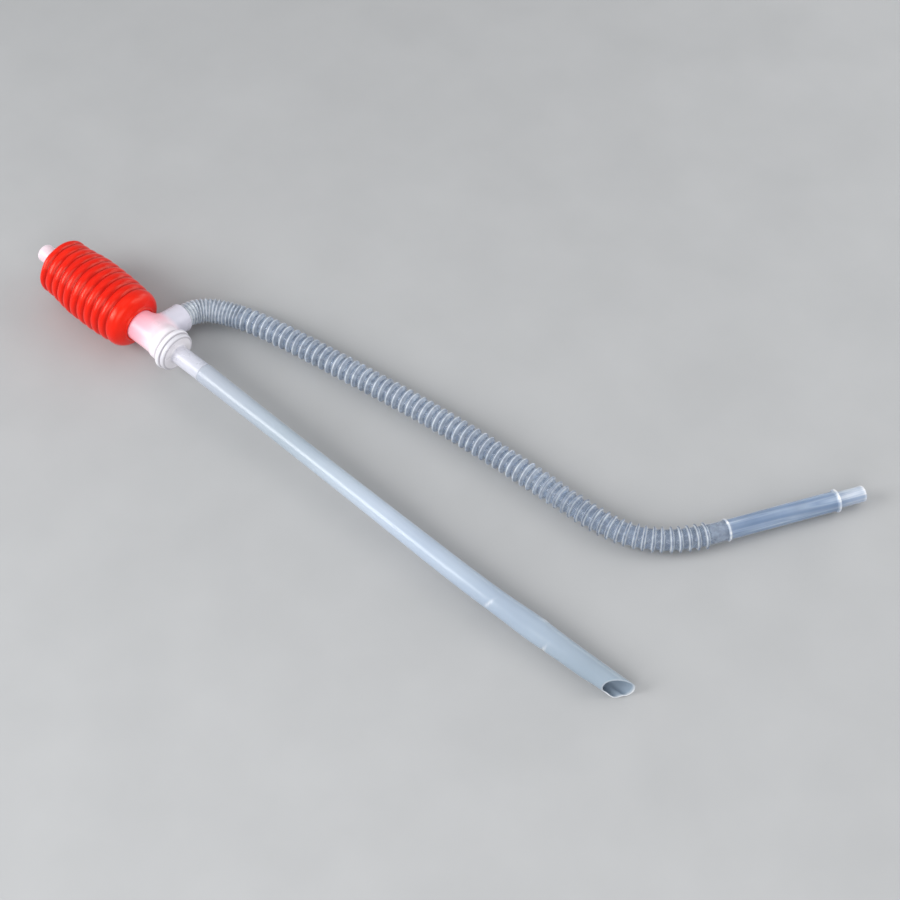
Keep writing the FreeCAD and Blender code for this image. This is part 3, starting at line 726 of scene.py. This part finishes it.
def tube_shell():
    body_end = 474.0 - TS0              # plain rings up to here, then they lean into the cut
    for i, p in enumerate(ttrack.p):
        if (p - S0).dot(AX) / MM >= TIP:
            f = ((p - S0).dot(AX) / MM - TIP) / 2.0
            tip_len = ttrack.s[i] / MM - f * 2.0
            break

    def ring(dist, wall, lean, lip=0.0):
        """dist along the line (mm); lean 0..1 blends from square to the oblique cut."""
        pts = []
        s = TS0 + dist
        r0 = lerp_table(TUBE_R, s)
        p0, t0, u0 = ttrack.at(dist * MM)
        w0 = t0.cross(u0)
        for i in range(SEGT):
            a = 2 * math.pi * i / SEGT
            ca, sa = math.cos(a), math.sin(a)
            dirv = u0 * ca + w0 * sa
            y, z = dirv.dot(YV), dirv.dot(ZV)
            off = -(NY * y + NZ * z) * (r0 - wall) / NX
            ang = math.degrees(math.atan2(z, y)) % 360.0
            d2 = dist + lean * off
            s2 = TS0 + d2
            # mouth: pinched lower edge, pulled-in near side, slightly raised upper lip
            k = lean ** 2
            rr = r0 - wall
            rr += k * (0.85 * around(ang, 252, 15) - 1.05 * around(ang, 278, 12) + 0.70 * around(ang, 304, 14) + 0.45 * around(ang, 5, 26) + 0.3 * around(ang, 120, 36))
            near = min(1.0, max(0.0, (s2 - 476.0) / 16.0))
            rr -= 1.0 * near * near * (3 - 2 * near) * around(ang, 207, 22)
            d2 -= 0.5 * k * around(ang, 120, 36)
            # the tube is squeezed oval where it was once bent, with a corner and two creases
            c2 = math.cos(2 * math.radians(ang - 28.4))
            rr += 0.68 * c2 * math.exp(-((s2 - 432.0) / 17.0) ** 2)
            rr += 0.30 * around(ang, 30, 26) * math.exp(-((s2 - 436.0) / 2.6) ** 2)
            rr -= 0.60 * around(ang, 196, 30) * math.exp(-((s2 - 446.0 + 0.03 * ((ang - 196 + 180) % 360 - 180)) / 1.2) ** 2)
            rr -= 0.40 * around(ang, 150, 26) * math.exp(-((s2 - 398.0 + 0.05 * ((ang - 150 + 180) % 360 - 180)) / 1.1) ** 2)
            rr += 0.05 * math.sin(math.radians(2 * ang) + s2 * 0.021) + 0.03 * math.sin(math.radians(3 * ang) - s2 * 0.045)
            p, t, u = ttrack.at(d2 * MM)
            w = t.cross(u)
            q = p + (u * ca + w * sa) * (rr * MM) + t * (lip * MM)
            if q.z < 0.00003:
                q.z = 0.00003
            pts.append(q)
            mk = 0.75 * around(ang, 196, 36) * math.exp(-((s2 - 446.4 + 0.03 * ((ang - 196 + 180) % 360 - 180)) / 0.9) ** 2)
            mk += 0.55 * around(ang, 150, 30) * math.exp(-((s2 - 398.6 + 0.05 * ((ang - 150 + 180) % 360 - 180)) / 0.9) ** 2)
            mk += 0.35 * around(ang, 35, 16) * math.exp(-((s2 - 436.0) / 3.0) ** 2)
            marks.append(mk if wall == 0.0 else 0.0)
        return pts

    marks = []
    n_body = 300
    ds_ = [0.0, 0.35] + [1.0 + (body_end - 1.0) * k / n_body for k in range(n_body + 1)]
    out, inn = [], []
    for d in ds_:
        w = 0.0 if d > 0.9 else (0.35 if d == 0.0 else 0.08)
        out.append(ring(d, w, 0.0))
    steps = 22
    for k in range(1, steps + 1):
        f = k / steps
        out.append(ring(body_end + (tip_len - body_end) * f, 0.0, f ** 1.4))
    wall = 0.85
    rim = [ring(tip_len, 0.10, 1.0, 0.12), ring(tip_len, 0.26, 1.0, 0.18), ring(tip_len, 0.45, 1.0, 0.2), ring(tip_len, wall - 0.22, 1.0, 0.16), ring(tip_len, wall - 0.08, 1.0, 0.08)]
    for k in range(steps, 0, -1):
        f = k / steps
        inn.append(ring(body_end + (tip_len - body_end) * f, wall, f ** 1.4))
    for d in reversed(ds_):
        inn.append(ring(d, wall, 0.0))
    ob = loops_to_mesh("suction_pipe", out + rim + inn)
    # the cut's lower lip catches the light, its upper lip hardly shows
    _, _, ue = ttrack.at(tip_len * MM)
    we = ttrack.at(tip_len * MM)[1].cross(ue)
    low = []
    for i in range(SEGT):
        a = 2 * math.pi * i / SEGT
        up = (ue * math.cos(a) + we * math.sin(a)).dot(ZV)
        low.append(min(1.0, max(0.22, 0.45 - 0.9 * up)))
    base = [0.0] * (SEGT * (len(out) - 1)) + [0.35 * q for q in low] + [0.85 * q for q in low] * len(rim) + [0.4 * q for q in low] + [0.0] * (SEGT * (len(inn) - 1))
    set_attr(ob, "rim", [max(a, b) for a, b in zip(base, marks)])
    set_attr(ob, "inner", [0.0] * (SEGT * (len(out) + len(rim))) + [1.0] * (SEGT * len(inn)))
    return ob


pipe = tube_shell()
put(pipe, M_TUBE)
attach(pipe, "pump")
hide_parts("suction_tube")

# ------------------------------------------------------------------ tee, moulded in one with soft blends
def surface_nets(F):
    """Zero surface of a sampled distance field: (vertices in grid units, quads)."""
    nx, ny, nz = F.shape
    neg = F < 0
    cells = (nx - 1, ny - 1, nz - 1)
    acc = np.zeros(cells + (3,))
    cnt = np.zeros(cells)
    for ax in range(3):
        others = [a for a in range(3) if a != ax]
        for o1 in (0, 1):
            for o2 in (0, 1):
                off = [0, 0, 0]
                off[others[0]], off[others[1]] = o1, o2
                end = list(off)
                end[ax] += 1
                sl0 = tuple(slice(off[k], off[k] + cells[k]) for k in range(3))
                sl1 = tuple(slice(end[k], end[k] + cells[k]) for k in range(3))
                f0, f1 = F[sl0], F[sl1]
                cross = neg[sl0] != neg[sl1]
                t = np.where(cross, f0 / np.where(cross, f0 - f1, 1.0), 0.0)
                for k in range(3):
                    acc[..., k] += np.where(cross, off[k] + (t if k == ax else 0.0), 0.0)
                cnt += cross
    act = cnt > 0
    idx = -np.ones(cells, dtype=np.int64)
    idx[act] = np.arange(int(act.sum()))
    base = np.argwhere(act)
    v = acc[act] / cnt[act][:, None] + base
    quads = []
    for ax in range(3):
        a1, a2 = [a for a in range(3) if a != ax]
        sl0 = [slice(None)] * 3
        sl1 = [slice(None)] * 3
        sl0[ax], sl1[ax] = slice(0, -1), slice(1, None)
        e = np.argwhere(neg[tuple(sl0)] != neg[tuple(sl1)])
        e = e[(e[:, a1] >= 1) & (e[:, a2] >= 1) & (e[:, a1] < cells[a1]) & (e[:, a2] < cells[a2])]
        d1 = np.zeros(3, dtype=np.int64)
        d2 = np.zeros(3, dtype=np.int64)
        d1[a1] = 1
        d2[a2] = 1
        q = [idx[tuple((e - m).T)] for m in (d1 + d2, d2, np.zeros(3, dtype=np.int64), d1)]
        quads.append(np.stack(q, -1))
    return v, np.concatenate(quads)


PORT_S, PORT_R, PORT_T, PORT_BORE, ROLL = 60.8, 10.9, 30.5, 8.4, math.radians(14.0)
NECK_R, TEE_BORE = 12.3, 10.4
h = 0.42
gs, gy, gz = np.arange(37.0 - 1.5, 85.5, h), np.arange(-18.4, 37.0, h), np.arange(-20.5, 18.6, h)
GS, GY, GZ = np.meshgrid(gs, gy, gz, indexing="ij")


def smin(a, b, k):
    t = np.maximum(k - np.abs(a - b), 0.0) / k
    return np.minimum(a, b) - t * t * t * k / 6.0


def smax(a, b, k):
    return -smin(-a, -b, k)


rad = np.hypot(GY, GZ)


def disc(s0, s1, r, e):
    """A round slab along the axis with edge radius e."""
    da = np.abs(GS - (s0 + s1) / 2) - (s1 - s0) / 2 + e
    dr = rad - r + e
    return np.minimum(np.maximum(da, dr), 0.0) + np.hypot(np.maximum(da, 0.0), np.maximum(dr, 0.0)) - e


py, pz = math.cos(ROLL), -math.sin(ROLL)
T = GY * py + GZ * pz
across = GY * (-pz) + GZ * py
prad = np.hypot(GS - PORT_S, across)
lip = 0.35 * np.exp(-((T - 29.4) / 0.9) ** 2)
dt = np.abs(T - PORT_T / 2) - PORT_T / 2 + 0.9
dp = prad - PORT_R - lip + 0.9
portf = np.minimum(np.maximum(dt, dp), 0.0) + np.hypot(np.maximum(dt, 0.0), np.maximum(dp, 0.0)) - 0.9
neck = disc(37.0, 83.0, NECK_R, 0.5)
flare = disc(71.0, 83.2, 13.0, 2.4)
body = smin(neck, flare, 6.0)
body = smin(body, portf, 8.5)
body = smin(body, disc(37.0, 39.9, NECK_R + 0.7, 0.4), 0.8)
body = smin(body, disc(80.2, 84.15, 16.4, 1.5), 3.0)
body = smin(body, disc(81.5, 84.36, 15.1, 0.45), 0.8)
body = smax(body, GS - 84.33, 0.2)
body = smax(body, -np.maximum(83.6 - GS, rad - 13.3), 0.3)
body = smax(body, 37.0 - GS, 0.4)
F = smax(body, -(rad - TEE_BORE), 0.5)
bore = np.maximum(prad - PORT_BORE, -T)
F = smax(F, -bore, 0.5)
vv, qq = surface_nets(F)
sv = gs[0] + vv[:, 0] * h
yv = gy[0] + vv[:, 1] * h
zv = gz[0] + vv[:, 2] * h
tee = new_mesh("tee_shell", [at(a, b_, c_) for a, b_, c_ in zip(sv.tolist(), yv.tolist(), zv.tolist())], [tuple(q_) for q_ in qq.tolist()])
bm = bmesh.new()
bm.from_mesh(tee.data)
for _ in range(3):
    bmesh.ops.smooth_vert(bm, verts=bm.verts, factor=0.5, use_axis_x=True, use_axis_y=True, use_axis_z=True)
bm.to_mesh(tee.data)
bm.free()
put(tee, M_TEE)
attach(tee, "pump")
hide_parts("tee_body")

# ------------------------------------------------------------------ CAD pieces that stay, with their finishes
for name, m in (("intake_adapter", M_ADAPTER), ("vent_cap", M_CAP), ("vent_bush", M_CAP), ("vent_seal", M_SEAL),
                ("adapter_seal", M_SEAL), ("intake_valve", M_VALVE), ("valve_cage", M_TEE), ("outlet_seat", M_TEE),
                ("outlet_flap", M_VALVE), ("flap_pin", M_STEEL)):
    ob = frame["nodes"][name]
    if len(ob.material_slots) == 0:
        ob.data.materials.append(m)
    for sl in ob.material_slots:
        sl.material = m

# ------------------------------------------------------------------ floor and light
fm, nt, b = mat("floor")
fv = tex_coord(nt)
fn = noise_tex(nt, fv, 14.0, 4.0)
nt.links.new(ramp(nt, fn, [(0.3, (0.405, 0.41, 0.415)), (0.7, (0.43, 0.435, 0.44))]), b.inputs["Base Color"])
b.inputs["Roughness"].default_value = 0.75
b.inputs["Specular IOR Level"].default_value = 0.2
me = bpy.data.meshes.new("floor")
q = 60.0
me.from_pydata([(-q, -q, -0.0002), (q, -q, -0.0002), (q, q, -0.0002), (-q, q, -0.0002)], [], [(0, 1, 2, 3)])
floor = bpy.data.objects.new("floor", me)
bpy.context.scene.collection.objects.link(floor)
floor.data.materials.append(fm)


def area(name, loc, target, size, power, color=(1, 1, 1)):
    ld = bpy.data.lights.new(name, "AREA")
    ld.shape = "RECTANGLE"
    ld.size, ld.size_y = size
    ld.energy = power
    ld.color = color
    lo = bpy.data.objects.new(name, ld)
    bpy.context.scene.collection.objects.link(lo)
    lo.location = loc
    lo.rotation_mode = "QUATERNION"
    lo.rotation_quaternion = (Vector(target) - Vector(loc)).to_track_quat("-Z", "Y")
    return lo


area("key", (-0.85, -1.25, 0.95), (-0.1, 0.0, 0.0), (1.1, 0.9), 24.0)
area("front", (0.85, -0.85, 0.8), (-0.1, 0.0, 0.0), (1.2, 1.0), 10.0)
area("fill", (0.9, 1.0, 1.0), (0.0, 0.05, 0.0), (1.0, 0.8), 7.0)
area("top", (-0.2, 0.2, 1.8), (0.0, 0.05, 0.0), (1.6, 1.2), 3.0)
area("rim", (0.45, 1.25, 0.32), (0.0, 0.05, 0.0), (1.8, 0.4), 5.0)
w = bpy.data.worlds.new("world")
bpy.context.scene.world = w
w.use_nodes = True
w.node_tree.nodes["Background"].inputs["Color"].default_value = (0.93, 0.95, 0.98, 1)
w.node_tree.nodes["Background"].inputs["Strength"].default_value = 0.46
